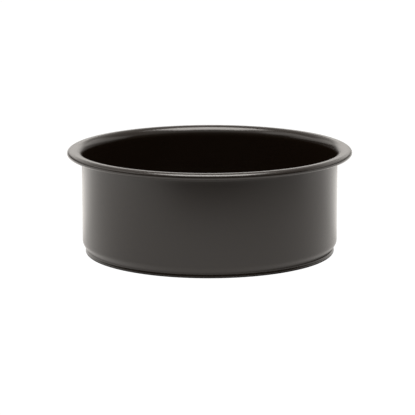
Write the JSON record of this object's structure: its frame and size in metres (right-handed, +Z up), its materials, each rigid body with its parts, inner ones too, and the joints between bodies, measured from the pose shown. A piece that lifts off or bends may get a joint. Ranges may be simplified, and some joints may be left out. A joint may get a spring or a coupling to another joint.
{
  "type": "loose-base cake pan",
  "caption": "Deep round cake pan with an upright wall, a flared rim rolled over a wire, a stepped foot and a loose base plate that lifts out.",
  "frame": {"origin": "centre of the foot, on the surface that the pan stands on", "axes": "+Z up along the pan's axis, X and Y any two level directions at right angles"},
  "size_m": [0.202, 0.202, 0.0742],
  "materials": {
    "wall_coat": "satin dark brown-black coat",
    "wire_steel": "drawn and zinc plated",
    "base_coat": "satin dark brown-black coat"
  },
  "bodies": {
    "pan": {"pan_wall": "wall_coat", "rim_wire": "wire_steel"},
    "base": {"loose_base": "base_coat"}
  },
  "joints": [
    {"name": "base_lift", "type": "slide", "parent": "pan", "child": "base", "axis": [0, 0, 1], "range_m": [0, 0.08]}
  ]
}
